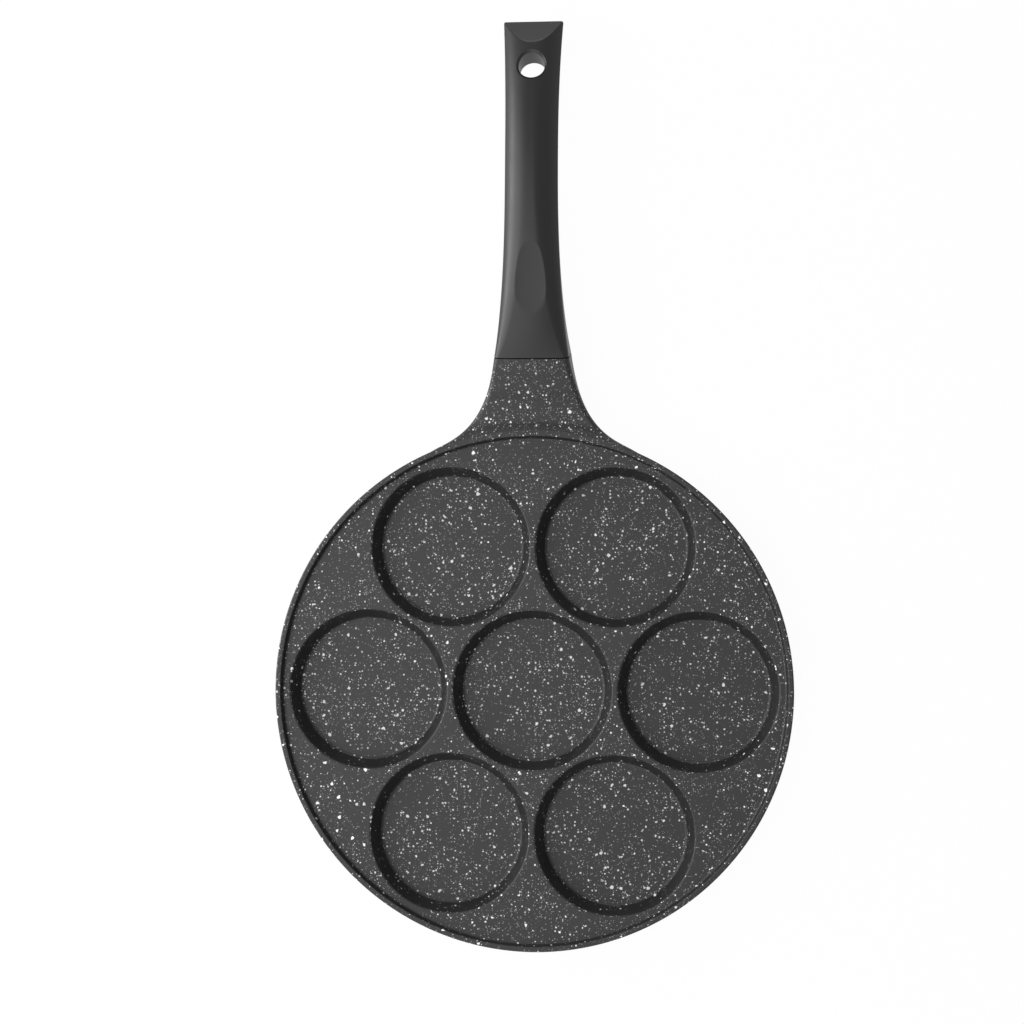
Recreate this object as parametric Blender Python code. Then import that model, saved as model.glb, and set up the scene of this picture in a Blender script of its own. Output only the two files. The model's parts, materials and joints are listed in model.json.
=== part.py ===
"""Pancake pan: a cast plate with seven round wells, a raised rim and a neck cast in one with it,
a steel disc pressed into the base of each well, and an arched moulded handle held by one screw.

Metres. The pan stands on Z = 0, the middle of its base is the origin, and the handle runs along +Y.
"""

import math

import bmesh
import bpy
from mathutils import Matrix, Vector

# The plate and its rim
PAN_DIAMETER = 0.260
PLATE_THICKNESS = 0.0035
RIM_HEIGHT = 0.0030
RIM_LAND = 0.0027
RIM_INNER_RUN = 0.0012
RIM_EDGE_RADIUS = 0.0008
SKIRT_DRAFT = 0.0010

# The wells
WELLS_AROUND = 6
WELL_PITCH = 0.0828
WELL_MOUTH_DIAMETER = 0.0800
WELL_FLOOR_DIAMETER = 0.0716
WELL_DEPTH = 0.0095
WELL_LIP_RADIUS = 0.0012
WELL_FLOOR_RADIUS = 0.0020
WELL_WALL = 0.0034
WELL_FLOOR_THICKNESS = 0.0040
WELL_HEEL_RADIUS = 0.0015

# The perforated disc in the base of each well
DISC_DIAMETER = 0.0580
DISC_THICKNESS = 0.0008
DISC_HOLE_WIDTH = 0.0044
DISC_HOLE_PITCH = 0.0105
DISC_HOLE_RINGS = 2

# The neck, cast in one with the plate
NECK_LENGTH = 0.0375
NECK_ROOT_ANGLE = math.radians(23.6)
NECK_ROOT_SPLAY = math.radians(8.3)
NECK_ROOT_PULL = 0.0120
NECK_WAIST_SPLAY = math.radians(8.8)
NECK_WAIST_PULL = 0.0400
NECK_BURIED_ANGLE = math.radians(5.0)
NECK_BITE = 0.0022
NECK_LEDGE = 0.0005
NECK_DIP = 0.0022
NECK_DIP_LENGTH = 0.0075
NECK_HOLLOW_LENGTH = 0.0035
NECK_TOP_ANGLE = math.radians(17.0)
NECK_STRAIGHT_SHARE = 0.5
NECK_FLAT_SHARE = 0.1

# The arched handle, measured on the arc through its middle
SEAM_HEIGHT = 0.0160
HANDLE_REACH = 0.1665
HANDLE_RISE = math.radians(15.0)
HANDLE_DROOP = math.radians(13.5)
HANDLE_SEAM_WIDTH = 0.0375
HANDLE_WAIST_WIDTH = 0.0263
HANDLE_END_WIDTH = 0.0298
HANDLE_SEAM_THICKNESS = 0.0190
HANDLE_WAIST_THICKNESS = 0.0150
HANDLE_END_THICKNESS = 0.0140
HANDLE_CROWN = 0.0010
HANDLE_CORNER = 0.0026
HANDLE_END_EDGE = 0.0006
WAIST_SHARE = 0.62
WAIST_EASE = 2.2
ROUNDEST = 0.9
ROUND_FROM_SHARE = 0.6

# The planed end, the hanging hole and the thumb rest
PLANED_LENGTH = 0.0127
PLANED_DROP = 0.0062
HANG_HOLE_DIAMETER = 0.0130
HANG_HOLE_MOUTH = 0.0158
HANG_HOLE_FROM_END = 0.0256
THUMB_REST_FROM_SEAM = 0.0403
THUMB_REST_DEPTH = 0.0004

# The tang, its socket and the screw that holds them
TANG_LENGTH = 0.0420
TANG_WIDTH = 0.0220
TANG_THICKNESS = 0.0060
TANG_LIFT = 0.0010
TANG_BURIED = 0.0060
TANG_CORNER = 0.0012
SCREW_FROM_SEAM = 0.0270
SCREW_DIAMETER = 0.0050
SCREW_HEAD_DIAMETER = 0.0090
SCREW_HEAD_HEIGHT = 0.0024
SCREW_DRIVE_WIDTH = 0.0050
SCREW_DRIVE_SLOT = 0.0011
SCREW_DRIVE_DEPTH = 0.0015
SEAT_WALL = 0.0026
WASHER_DIAMETER = 0.0100
WASHER_THICKNESS = 0.0008
SPRING_DIAMETER = 0.0088
SPRING_THICKNESS = 0.0009
SPRING_LIFT = 0.0005
SPRING_SPLIT = math.radians(16.0)
RECESS_DIAMETER = 0.0114

# Clearances
FIT_GAP = 0.0003
SEAM_GAP = 0.0005
CUT_OVERRUN = 0.0020
KEPT_BELOW = 0.00005

# Points nearer to each other than this are one point
MERGE_DISTANCE = 0.00001

# How finely round shapes are divided
RIM_STEPS = 80
WELL_STEPS = 32
DISC_STEPS = 24
SMALL_STEPS = 24
CORNER_STEPS = 5
FLAT_STEPS = 3
NECK_STATIONS = 16
HANDLE_STATIONS = 20

# Heights and places that follow from the sizes above
PAN_RADIUS = PAN_DIAMETER / 2
PLATE_TOP = WELL_FLOOR_THICKNESS + WELL_DEPTH
PLATE_BOTTOM = PLATE_TOP - PLATE_THICKNESS
RIM_TOP = PLATE_TOP + RIM_HEIGHT
SEAM_Y = PAN_RADIUS + NECK_LENGTH
HANDLE_RADIUS = HANDLE_REACH / (math.sin(HANDLE_RISE) + math.sin(HANDLE_DROOP))
HANDLE_LENGTH = HANDLE_RADIUS * (HANDLE_RISE + HANDLE_DROOP)

for old in list(bpy.data.objects):
    bpy.data.objects.remove(old, do_unlink=True)

CUTTERS = bpy.data.collections.new("cutters")
bpy.context.scene.collection.children.link(CUTTERS)


def material(name, color, roughness, metallic):
    """A plain Principled material in the piece's own colour."""
    made = bpy.data.materials.new(name)
    made.use_nodes = True
    shader = made.node_tree.nodes["Principled BSDF"]
    shader.inputs["Base Color"].default_value = (*color, 1.0)
    shader.inputs["Roughness"].default_value = roughness
    shader.inputs["Metallic"].default_value = metallic
    return made


def smooth(mesh, sharp_angle=math.radians(32)):
    mesh.shade_smooth()
    mesh.set_sharp_from_angle(angle=sharp_angle)


def piece(name, mesh, finish):
    """A visible part of the pan."""
    smooth(mesh)
    mesh.materials.append(finish)
    made = bpy.data.objects.new(name, mesh)
    bpy.context.scene.collection.objects.link(made)
    return made


def helper(name, mesh):
    """A solid that only cuts or joins another."""
    made = bpy.data.objects.new(name, mesh)
    made.hide_render = True
    made.display_type = "WIRE"
    CUTTERS.objects.link(made)
    return made


def boolean(target, operation, other):
    """Joins or cuts a piece with a helper."""
    step = target.modifiers.new(f"{operation.lower()} {other.name}", "BOOLEAN")
    step.operation = operation
    step.solver = "EXACT"
    step.object = other


def mesh_of(name, shape):
    """A mesh from a bmesh whose doubles are merged and whose faces point outwards."""
    bmesh.ops.remove_doubles(shape, verts=shape.verts, dist=MERGE_DISTANCE)
    bmesh.ops.recalc_face_normals(shape, faces=shape.faces)
    mesh = bpy.data.meshes.new(name)
    shape.to_mesh(mesh)
    shape.free()
    return mesh


def rounded(corners, steps=2):
    """The points of a profile through (across, up, radius) corners, each rounded by its radius."""
    path = [Vector(corners[0][:2])]
    for before, here, after in zip(corners, corners[1:], corners[2:]):
        point, radius = Vector(here[:2]), here[2]
        back = (Vector(before[:2]) - point).normalized()
        on = (Vector(after[:2]) - point).normalized()
        if radius == 0.0:
            path.append(point)
            continue
        half = back.angle(on) / 2
        centre = point + (back + on).normalized() * radius / math.sin(half)
        start = point + back * radius / math.tan(half) - centre
        end = point + on * radius / math.tan(half) - centre
        for step in range(steps + 1):
            share = step / steps
            path.append(centre + radius * start.slerp(end, share).normalized())
    path.append(Vector(corners[-1][:2]))
    return path


def turned(name, profile, steps, ring=False):
    """A solid turned about Z from (radius, height) points, which a ring joins end to end."""
    shape = bmesh.new()
    points = [shape.verts.new((radius, 0.0, height)) for radius, height in profile]
    ends = points[1:] + points[:1] if ring else points[1:]
    edges = [shape.edges.new(pair) for pair in zip(points, ends)]
    bmesh.ops.spin(
        shape,
        geom=points + edges,
        axis=(0, 0, 1),
        cent=(0, 0, 0),
        angle=math.tau,
        steps=steps,
        use_merge=True,
    )
    bmesh.ops.remove_doubles(shape, verts=shape.verts, dist=MERGE_DISTANCE)
    poles = [point for point in shape.verts if point.co.xy.length < MERGE_DISTANCE]
    bmesh.ops.dissolve_verts(shape, verts=poles)
    return mesh_of(name, shape)


def block(name, width, length, height, corner=0.0):
    """A box about the origin, its edges rounded by the corner radius."""
    shape = bmesh.new()
    bmesh.ops.create_cube(shape, size=1.0, matrix=Matrix.Diagonal((width, length, height, 1.0)))
    if corner > 0.0:
        bmesh.ops.bevel(
            shape, geom=shape.edges[:], offset=corner, segments=2, profile=0.5, affect="EDGES"
        )
    return mesh_of(name, shape)


def lofted(name, rings):
    """A closed solid whose skin joins rings of like points, with a flat cap on each end."""
    shape = bmesh.new()
    loops = [[shape.verts.new(point) for point in ring] for ring in rings]
    for near, far in zip(loops, loops[1:]):
        for start in range(len(near)):
            end = (start + 1) % len(near)
            shape.faces.new((near[start], near[end], far[end], far[start]))
    for cap in (loops[0], loops[-1]):
        shape.faces.new(cap)
    return mesh_of(name, shape)


def ease(share, power):
    """Falls from 1 at share 0 to 0 at share 1, the more steeply at first the higher the power."""
    return max(0.0, 1.0 - share) ** power


def section(half_width, half_height, corner_across, corner_up, crown):
    """The (across, up) points round a crowned box with elliptical corners, from its right side."""
    flat = half_width - corner_across
    right = [(half_width, 0.0)]
    for step in range(CORNER_STEPS + 1):
        angle = math.pi / 2 * step / CORNER_STEPS
        up = half_height - corner_up * (1 - math.sin(angle))
        right.append((flat + corner_across * math.cos(angle), up))
    for step in range(1, FLAT_STEPS):
        right.append((flat * (1 - step / FLAT_STEPS), half_height))
    over = right + [(0.0, half_height)] + [(-across, up) for across, up in reversed(right)]
    under = [(-across, -up) for across, up in over[1:-1]]
    return [
        (across, up + crown * (1 - (across / half_width) ** 2) * up / half_height)
        for across, up in over + under
    ]


# The plate with its rim, one turned shape
def plate_mesh():
    rim_inside = PAN_RADIUS - RIM_LAND
    return turned(
        "plate",
        rounded(
            [
                (0.0, PLATE_TOP),
                (rim_inside - RIM_INNER_RUN, PLATE_TOP, RIM_EDGE_RADIUS / 2),
                (rim_inside, RIM_TOP, RIM_EDGE_RADIUS / 2),
                (PAN_RADIUS, RIM_TOP, RIM_EDGE_RADIUS),
                (PAN_RADIUS - SKIRT_DRAFT, PLATE_BOTTOM, RIM_EDGE_RADIUS),
                (0.0, PLATE_BOTTOM),
            ]
        ),
        RIM_STEPS,
    )


# Each well: a cup under the plate, hollowed from above and recessed for its disc from below
def well_places():
    """The middle of each well in plan: one in the middle of the pan, the others around it."""
    places = [(0.0, 0.0)]
    for step in range(WELLS_AROUND):
        angle = math.tau * step / WELLS_AROUND
        places.append((WELL_PITCH * math.cos(angle), WELL_PITCH * math.sin(angle)))
    return places


def cup_mesh():
    lean = (WELL_MOUTH_DIAMETER - WELL_FLOOR_DIAMETER) / 2 / WELL_DEPTH
    wall_run = WELL_WALL * math.hypot(1.0, lean)
    floor_radius = WELL_FLOOR_DIAMETER / 2
    joint = PLATE_TOP - PLATE_THICKNESS / 2
    joint_radius = floor_radius + (joint - WELL_FLOOR_THICKNESS) * lean + wall_run
    foot_radius = floor_radius - WELL_FLOOR_THICKNESS * lean + wall_run
    return turned(
        "cup",
        rounded(
            [
                (0.0, joint),
                (joint_radius, joint, 0.0),
                (foot_radius, 0.0, WELL_HEEL_RADIUS),
                (0.0, 0.0),
            ]
        ),
        WELL_STEPS,
    )


def hollow_mesh():
    mouth_radius = WELL_MOUTH_DIAMETER / 2
    brim = PLATE_TOP + KEPT_BELOW
    brim_radius = mouth_radius + WELL_LIP_RADIUS
    return turned(
        "hollow",
        rounded(
            [
                (0.0, brim + CUT_OVERRUN),
                (brim_radius, brim + CUT_OVERRUN, 0.0),
                (brim_radius, brim, 0.0),
                (mouth_radius, brim, WELL_LIP_RADIUS),
                (WELL_FLOOR_DIAMETER / 2, WELL_FLOOR_THICKNESS, WELL_FLOOR_RADIUS),
                (0.0, WELL_FLOOR_THICKNESS),
            ]
        ),
        WELL_STEPS,
    )


def disc_seat_mesh():
    radius = DISC_DIAMETER / 2 + FIT_GAP
    top = DISC_THICKNESS + FIT_GAP
    profile = [(0.0, top), (radius, top), (radius, -CUT_OVERRUN), (0.0, -CUT_OVERRUN)]
    return turned("disc seat", profile, DISC_STEPS)


def disc_hole_places():
    """Hexagonal rings of holes round the middle of a disc, which is left whole."""
    places = []
    for ring in range(1, DISC_HOLE_RINGS + 1):
        for side in range(6):
            start = Vector((1.0, 0.0)) * DISC_HOLE_PITCH * ring
            start.rotate(Matrix.Rotation(math.tau * side / 6, 2))
            along = Vector((1.0, 0.0)) * DISC_HOLE_PITCH
            along.rotate(Matrix.Rotation(math.tau * (side + 2) / 6, 2))
            places += [start + along * step for step in range(ring)]
    return places


def perforated_disc_mesh():
    shape = bmesh.new()
    bmesh.ops.create_circle(shape, cap_ends=False, segments=DISC_STEPS, radius=DISC_DIAMETER / 2)
    corner_radius = DISC_HOLE_WIDTH / 2 / math.cos(math.pi / 6)
    for place in disc_hole_places():
        bmesh.ops.create_circle(
            shape,
            cap_ends=False,
            segments=6,
            radius=corner_radius,
            matrix=Matrix.Translation((*place, 0.0)),
        )
    bmesh.ops.triangle_fill(shape, edges=shape.edges[:], use_beauty=True)
    raised = bmesh.ops.extrude_face_region(shape, geom=shape.faces[:], use_keep_orig=True)
    points = [found for found in raised["geom"] if isinstance(found, bmesh.types.BMVert)]
    bmesh.ops.translate(shape, verts=points, vec=(0.0, 0.0, DISC_THICKNESS))
    return mesh_of("perforated disc", shape)


# The neck's plan is one smooth flare from the handle's width out to the rim
def flare_point(share):
    """The edge of the neck in plan, from the seam (share 0) to the rim (share 1)."""
    seam = Vector((HANDLE_SEAM_WIDTH / 2, SEAM_Y))
    root = PAN_RADIUS * Vector((math.sin(NECK_ROOT_ANGLE), math.cos(NECK_ROOT_ANGLE)))
    waist_pull = seam + NECK_WAIST_PULL * Vector(
        (math.sin(NECK_WAIST_SPLAY), -math.cos(NECK_WAIST_SPLAY))
    )
    along_rim = NECK_ROOT_ANGLE + NECK_ROOT_SPLAY
    root_pull = root + NECK_ROOT_PULL * Vector((-math.cos(along_rim), math.sin(along_rim)))
    left = 1.0 - share
    ends = seam * left**3 + root * share**3
    return ends + waist_pull * 3 * left**2 * share + root_pull * 3 * left * share**2


def neck_top(out):
    """Height of the neck's upper face at a distance beyond the pan's edge."""
    rim = RIM_TOP - KEPT_BELOW
    seam_top = SEAM_HEIGHT + HANDLE_SEAM_THICKNESS / 2 * math.cos(HANDLE_RISE)
    low = rim - NECK_DIP
    dip_end = NECK_LEDGE + NECK_DIP_LENGTH
    if out < dip_end:
        return low + NECK_DIP * ease(max(out - NECK_LEDGE, 0.0) / NECK_DIP_LENGTH, 2.0)
    climb_start = dip_end + NECK_HOLLOW_LENGTH
    run = NECK_LENGTH - climb_start
    share = min(max(out - climb_start, 0.0) / run, 1.0)
    climb = (seam_top - low) * share * share * (3 - 2 * share)
    return low + climb - run * math.tan(NECK_TOP_ANGLE) * share * share * (1 - share)


def neck_bottom(out):
    """Height of the neck's lower face at a distance beyond the pan's edge."""
    root = PLATE_BOTTOM + FIT_GAP
    seam_bottom = SEAM_HEIGHT - HANDLE_SEAM_THICKNESS / 2 * math.cos(HANDLE_RISE)
    share = min(max(out / NECK_LENGTH, 0.0), 1.0)
    return root + (seam_bottom - root) * share * share * (3 - 2 * share)


def neck_ring(half_width, station, share):
    """One cross-section of the neck, square to the handle at the seam and upright at the rim."""
    out = station - PAN_RADIUS
    half_height = (neck_top(out) - neck_bottom(out)) / 2
    corner_up = min(HANDLE_CORNER, half_height * (1.0 - NECK_FLAT_SHARE))
    crown = HANDLE_CROWN * ease(share, 2.0)
    bent = min(1.0, share / NECK_STRAIGHT_SHARE)
    tilt = HANDLE_RISE * (1.0 - bent)
    ring = []
    for across, up in section(half_width, half_height, HANDLE_CORNER, corner_up, crown):
        bow = math.hypot(across, station) - station
        round_out = out + bow * bent
        top, bottom = neck_top(round_out), neck_bottom(round_out)
        lift = (top - bottom) / 2 * up / half_height
        ring.append((across, station - lift * math.tan(tilt), (top + bottom) / 2 + lift))
    return ring


def neck_mesh():
    rings = []
    for step in range(NECK_STATIONS + 1):
        share = step / NECK_STATIONS
        rings.append(neck_ring(*flare_point(share), share))
    buried_angle = NECK_ROOT_ANGLE + NECK_BURIED_ANGLE
    buried = (PAN_RADIUS - RIM_LAND / 2) * Vector((math.sin(buried_angle), math.cos(buried_angle)))
    rings.append(neck_ring(*buried, 1.0))
    return lofted("neck", rings)


# The handle's middle is one arc that rises from the seam and droops to its end
def handle_frame(distance):
    """Where a cross-section stands at a distance along the arc: X across, Y along, Z up."""
    heading = HANDLE_RISE - distance / HANDLE_RADIUS
    y = SEAM_Y + HANDLE_RADIUS * (math.sin(HANDLE_RISE) - math.sin(heading))
    z = SEAM_HEIGHT + HANDLE_RADIUS * (math.cos(heading) - math.cos(HANDLE_RISE))
    return Matrix.Translation((0.0, y, z)) @ Matrix.Rotation(heading, 4, "X")


def swelling(distance, seam, waist, end):
    """A width or thickness that eases from the waist to its values at the seam and the end."""
    waist_at = WAIST_SHARE * HANDLE_LENGTH
    if distance < waist_at:
        return waist + (seam - waist) * ease(distance / waist_at, WAIST_EASE)
    beyond = (distance - waist_at) / (HANDLE_LENGTH - waist_at)
    return waist + (end - waist) * beyond**WAIST_EASE


def handle_half_width(distance):
    return swelling(distance, HANDLE_SEAM_WIDTH, HANDLE_WAIST_WIDTH, HANDLE_END_WIDTH) / 2


def handle_half_height(distance):
    thick = (HANDLE_SEAM_THICKNESS, HANDLE_WAIST_THICKNESS, HANDLE_END_THICKNESS)
    return swelling(distance, *thick) / 2


def handle_crest(distance):
    """Height of the handle's ridge above its middle."""
    return handle_half_height(distance) + HANDLE_CROWN


def handle_corner(distance, half_width, half_height):
    """How far a section's rounded corners reach in from its side and down from its top."""
    softness = ROUNDEST * (1 - ease(distance / HANDLE_LENGTH / ROUND_FROM_SHARE, 2.0))
    across = HANDLE_CORNER + (half_width - HANDLE_CORNER) * softness
    up = HANDLE_CORNER + (half_height - HANDLE_CORNER) * softness
    return across, up


def handle_skin(distance, across, side):
    """Height of the handle's skin beside its middle line: side is 1 above and -1 below."""
    half_width, half_height = handle_half_width(distance), handle_half_height(distance)
    corner_across, corner_up = handle_corner(distance, half_width, half_height)
    beyond = max(abs(across) - (half_width - corner_across), 0.0) / corner_across
    up = half_height - corner_up * (1 - math.sqrt(1 - beyond * beyond))
    return side * (up + HANDLE_CROWN * (1 - (across / half_width) ** 2) * up / half_height)


def handle_ring(distance, inset=0.0):
    half_width = handle_half_width(distance) - inset
    half_height = handle_half_height(distance) - inset
    corners = handle_corner(distance, half_width, half_height)
    frame = handle_frame(distance)
    points = section(half_width, half_height, *corners, HANDLE_CROWN)
    return [frame @ Vector((across, 0.0, up)) for across, up in points]


def handle_mesh():
    rings = []
    body_end = HANDLE_LENGTH - HANDLE_END_EDGE
    for step in range(HANDLE_STATIONS + 1):
        rings.append(handle_ring(SEAM_GAP + (body_end - SEAM_GAP) * step / HANDLE_STATIONS))
    rings.append(handle_ring(HANDLE_LENGTH, inset=HANDLE_END_EDGE))
    return lofted("handle", rings)


def planed_end_frame():
    """The middle of the flat that bevels the handle's end: Y down the flat, Z out of it."""
    start = handle_frame(HANDLE_LENGTH - PLANED_LENGTH)
    end = handle_frame(HANDLE_LENGTH)
    high = start @ Vector((0.0, 0.0, handle_crest(HANDLE_LENGTH - PLANED_LENGTH)))
    low = end @ Vector((0.0, 0.0, handle_crest(HANDLE_LENGTH) - PLANED_DROP))
    fall = math.atan2(low.z - high.z, low.y - high.y)
    return Matrix.Translation((high + low) / 2) @ Matrix.Rotation(fall, 4, "X")


def thumb_rest_frame():
    """The middle of the flat that is sunk in the handle's ridge for the thumb."""
    sunk = handle_crest(THUMB_REST_FROM_SEAM) - THUMB_REST_DEPTH
    return handle_frame(THUMB_REST_FROM_SEAM) @ Matrix.Translation((0.0, 0.0, sunk))


def hang_hole_mesh():
    """The hole's cutter, whose bevelled mouths follow the handle's rounded skin."""
    bore, mouth = HANG_HOLE_DIAMETER / 2, HANG_HOLE_MOUTH / 2
    bevel = mouth - bore
    rings = []
    for side, radius, sunk in (
        (1, mouth + CUT_OVERRUN, -CUT_OVERRUN),
        (1, bore, bevel),
        (-1, bore, bevel),
        (-1, mouth + CUT_OVERRUN, -CUT_OVERRUN),
    ):
        ring = []
        for step in range(SMALL_STEPS):
            turn = math.tau * step / SMALL_STEPS
            reach = min(radius, mouth)
            distance = HANDLE_LENGTH - HANG_HOLE_FROM_END + reach * math.sin(turn)
            skin = handle_skin(distance, reach * math.cos(turn), side)
            ring.append((radius * math.cos(turn), radius * math.sin(turn), skin - side * sunk))
        rings.append(ring)
    return lofted("hanging hole", rings)


# The tang lies along the chord of the handle's arc, so that it goes straight into its socket
def tang_frame(distance=0.0):
    chord = HANDLE_RISE - TANG_LENGTH / HANDLE_RADIUS / 2
    seam = Matrix.Translation((0.0, SEAM_Y, SEAM_HEIGHT)) @ Matrix.Rotation(chord, 4, "X")
    return seam @ Matrix.Translation((0.0, distance, TANG_LIFT))


def tongue(name, start, end, grow):
    """The tang's own block, or its socket where it is grown by a clearance."""
    width = TANG_WIDTH + 2 * grow
    thickness = TANG_THICKNESS + 2 * grow
    made = helper(name, block(name, width, end - start, thickness, TANG_CORNER))
    made.matrix_world = tang_frame((start + end) / 2)
    return made


def plug(name, steps):
    """A turned cutter on the screw's axis, from (radius, height above the tang's middle) points."""
    made = helper(name, turned(name, steps, SMALL_STEPS))
    made.matrix_world = tang_frame(SCREW_FROM_SEAM)
    return made


# The fasteners stack below the tang, each a clearance from the next
SEAT = -(TANG_THICKNESS / 2 + FIT_GAP + SEAT_WALL)
WASHER_TOP = SEAT - FIT_GAP
SPRING_TOP = WASHER_TOP - WASHER_THICKNESS - FIT_GAP
HEAD_TOP = SPRING_TOP - SPRING_THICKNESS - SPRING_LIFT - FIT_GAP
SCREW_HOLE_RADIUS = SCREW_DIAMETER / 2 + FIT_GAP


def screw_mesh():
    shank = SCREW_DIAMETER / 2
    head = SCREW_HEAD_DIAMETER / 2
    tip = TANG_THICKNESS / 2 - FIT_GAP
    bottom = HEAD_TOP - SCREW_HEAD_HEIGHT
    profile = [
        (0.0, tip),
        (shank, tip, shank / 4),
        (shank, HEAD_TOP, 0.0),
        (head, HEAD_TOP, 0.0),
        (head, bottom, SCREW_HEAD_HEIGHT / 3),
        (0.0, bottom),
    ]
    return turned("handle screw", rounded(profile), SMALL_STEPS)


def ring_mesh(name, outer, top, thickness):
    """A flat washer that clears the screw's shank."""
    profile = [(SCREW_HOLE_RADIUS, top), (outer, top), (outer, top - thickness)]
    profile.append((SCREW_HOLE_RADIUS, top - thickness))
    return turned(name, profile, SMALL_STEPS, ring=True)


def split_ring_mesh(name, outer, top, thickness, lift):
    """A spring washer: one rising turn, split at its ends."""
    rings = []
    for step in range(SMALL_STEPS + 1):
        share = step / SMALL_STEPS
        angle = SPRING_SPLIT / 2 + (math.tau - SPRING_SPLIT) * share
        high = top - lift * (1 - share)
        low = high - thickness
        corners = [(SCREW_HOLE_RADIUS, high), (outer, high), (outer, low), (SCREW_HOLE_RADIUS, low)]
        rings.append([(r * math.cos(angle), r * math.sin(angle), z) for r, z in corners])
    return lofted(name, rings)


def screw_drive_slot(name, turn):
    """One slot of the cross in the screw's head."""
    depth = SCREW_DRIVE_DEPTH + CUT_OVERRUN
    made = helper(name, block(name, SCREW_DRIVE_WIDTH, SCREW_DRIVE_SLOT, depth))
    middle = HEAD_TOP - SCREW_HEAD_HEIGHT + SCREW_DRIVE_DEPTH - depth / 2
    place = Matrix.Translation((0.0, 0.0, middle)) @ Matrix.Rotation(turn, 4, "Z")
    made.matrix_world = tang_frame(SCREW_FROM_SEAM) @ place
    return made


coated = material("stone effect coating", (0.070, 0.070, 0.071), 0.50, 0.0)
steel = material("pressed steel", (0.55, 0.55, 0.55), 0.35, 1.0)
phenolic = material("satin black moulding", (0.045, 0.045, 0.045), 0.48, 0.0)
zinc = material("zinc plated steel", (0.60, 0.61, 0.62), 0.32, 1.0)

# The casting: plate and rim, neck and tang, seven cups
pan_body = piece("pan_body", plate_mesh(), coated)

neck = helper("neck", neck_mesh())
bitten = PAN_RADIUS - NECK_BITE
core = [
    (0.0, RIM_TOP + CUT_OVERRUN),
    (bitten, RIM_TOP + CUT_OVERRUN),
    (bitten, -CUT_OVERRUN),
    (0.0, -CUT_OVERRUN),
]
boolean(neck, "DIFFERENCE", helper("inside the rim", turned("inside the rim", core, RIM_STEPS)))
boolean(neck, "UNION", tongue("tang", -TANG_BURIED, TANG_LENGTH, 0.0))
tapped = TANG_THICKNESS / 2 + CUT_OVERRUN
tapped_hole = [(0.0, tapped), (SCREW_HOLE_RADIUS, tapped), (SCREW_HOLE_RADIUS, -tapped)]
tapped_hole.append((0.0, -tapped))
boolean(neck, "DIFFERENCE", plug("tapped hole", tapped_hole))
boolean(pan_body, "UNION", neck)

for operation, mesh in (
    ("UNION", cup_mesh()),
    ("DIFFERENCE", hollow_mesh()),
    ("DIFFERENCE", disc_seat_mesh()),
):
    for number, place in enumerate(well_places()):
        shaper = helper(f"{mesh.name} {number}", mesh)
        shaper.location = (*place, 0.0)
        boolean(pan_body, operation, shaper)

perforated_disc = perforated_disc_mesh()
smooth(perforated_disc)
perforated_disc.materials.append(steel)
for number, place in enumerate(well_places()):
    name = f"base_disc_{number}" if number else "base_disc_middle"
    base_disc = bpy.data.objects.new(name, perforated_disc)
    base_disc.location = (*place, 0.0)
    bpy.context.scene.collection.objects.link(base_disc)

# The handle, with its flat end, hanging hole, thumb rest, socket and screw recess
handle = piece("handle", handle_mesh(), phenolic)

for name, middle, length in (
    ("planed end", planed_end_frame(), PLANED_LENGTH * 4),
    ("thumb rest", thumb_rest_frame(), THUMB_REST_FROM_SEAM),
):
    plane = helper(name, block(name, HANDLE_SEAM_WIDTH, length, HANDLE_SEAM_THICKNESS))
    plane.matrix_world = middle @ Matrix.Translation((0.0, 0.0, HANDLE_SEAM_THICKNESS / 2))
    boolean(handle, "DIFFERENCE", plane)

hang_hole = helper("hanging hole", hang_hole_mesh())
hang_hole.matrix_world = handle_frame(HANDLE_LENGTH - HANG_HOLE_FROM_END)
boolean(handle, "DIFFERENCE", hang_hole)

boolean(handle, "DIFFERENCE", tongue("socket", -CUT_OVERRUN, TANG_LENGTH + FIT_GAP, FIT_GAP))
below = -HANDLE_SEAM_THICKNESS
recess = [
    (0.0, 0.0),
    (SCREW_HOLE_RADIUS, 0.0),
    (SCREW_HOLE_RADIUS, SEAT),
    (RECESS_DIAMETER / 2, SEAT),
    (RECESS_DIAMETER / 2, below),
    (0.0, below),
]
boolean(handle, "DIFFERENCE", plug("screw recess", recess))

# The screw and its washers share one axis
screw_axis = bpy.data.objects.new("screw axis", None)
screw_axis.matrix_world = tang_frame(SCREW_FROM_SEAM)
bpy.context.scene.collection.objects.link(screw_axis)

handle_screw = piece("handle_screw", screw_mesh(), zinc)
for name, turn in (("drive slot", 0.0), ("cross drive slot", math.pi / 2)):
    boolean(handle_screw, "DIFFERENCE", screw_drive_slot(name, turn))
plain_washer = piece(
    "plain_washer",
    ring_mesh("plain washer", WASHER_DIAMETER / 2, WASHER_TOP, WASHER_THICKNESS),
    zinc,
)
spring_washer = piece(
    "spring_washer",
    split_ring_mesh(
        "spring washer", SPRING_DIAMETER / 2, SPRING_TOP, SPRING_THICKNESS, SPRING_LIFT
    ),
    zinc,
)
for fastener in (handle_screw, plain_washer, spring_washer):
    fastener.parent = screw_axis
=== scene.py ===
import json
import math

import bmesh
import bpy
from mathutils import Matrix, Vector

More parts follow.
